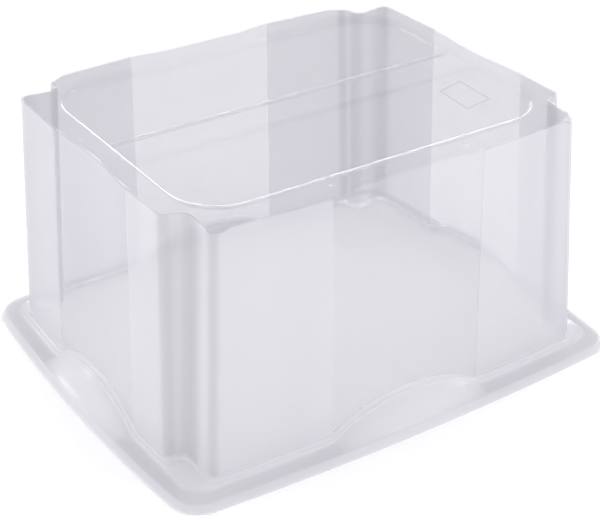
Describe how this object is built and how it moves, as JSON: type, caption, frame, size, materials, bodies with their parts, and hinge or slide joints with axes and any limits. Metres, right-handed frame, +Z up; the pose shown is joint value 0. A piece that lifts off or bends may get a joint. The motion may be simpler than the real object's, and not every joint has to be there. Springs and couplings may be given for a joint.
{
  "type": "storage box",
  "caption": "Open stacking storage box of translucent plastic with a wide rim, notched corners, clear windows and finger grips, standing upside down on its rim.",
  "frame": {"origin": "centre of the rim's footprint, on the floor the rim stands on", "axes": "+Z up through the base, +X along the long sides towards the right, +Y towards the back"},
  "size_m": [0.48, 0.4, 0.242],
  "materials": {
    "clear_plastic": "glossy",
    "frosted_plastic": "satin",
    "rim_plastic": "satin",
    "base_plastic": "glossy"
  },
  "bodies": {
    "root": {"base_band": "base_plastic", "base_border_back": "base_plastic", "base_border_front": "base_plastic", "base_border_left": "base_plastic", "base_border_right": "base_plastic", "base_panel_back": "base_plastic", "base_panel_front": "base_plastic", "base_step": "base_plastic", "corner_seat_back_left": "rim_plastic", "corner_seat_back_right": "rim_plastic", "corner_seat_front_left": "rim_plastic", "corner_seat_front_right": "rim_plastic", "flange_back_left": "rim_plastic", "flange_back_right": "rim_plastic", "flange_front_left": "rim_plastic", "flange_front_right": "rim_plastic", "flange_left_back": "rim_plastic", "flange_left_front": "rim_plastic", "flange_right_back": "rim_plastic", "flange_right_front": "rim_plastic", "grip_back": "clear_plastic", "grip_front": "clear_plastic", "grip_left": "clear_plastic", "grip_right": "clear_plastic", "notch_end_back_left": "frosted_plastic", "notch_end_back_right": "frosted_plastic", "notch_end_front_left": "frosted_plastic", "notch_end_front_right": "frosted_plastic", "notch_side_back_left": "frosted_plastic", "notch_side_back_right": "frosted_plastic", "notch_side_front_left": "frosted_plastic", "notch_side_front_right": "frosted_plastic", "rim_lip_back": "rim_plastic", "rim_lip_corner_back_left": "rim_plastic", "rim_lip_corner_back_right": "rim_plastic", "rim_lip_corner_front_left": "rim_plastic", "rim_lip_corner_front_right": "rim_plastic", "rim_lip_front": "rim_plastic", "rim_lip_left": "rim_plastic", "rim_lip_right": "rim_plastic", "wall_back_left": "frosted_plastic", "wall_back_right": "frosted_plastic", "wall_front_left": "frosted_plastic", "wall_front_right": "frosted_plastic", "wall_left_back": "frosted_plastic", "wall_left_front": "frosted_plastic", "wall_right_back": "frosted_plastic", "wall_right_front": "frosted_plastic", "window_back": "clear_plastic", "window_front": "clear_plastic", "window_left": "clear_plastic", "window_right": "clear_plastic"}
  },
  "joints": []
}
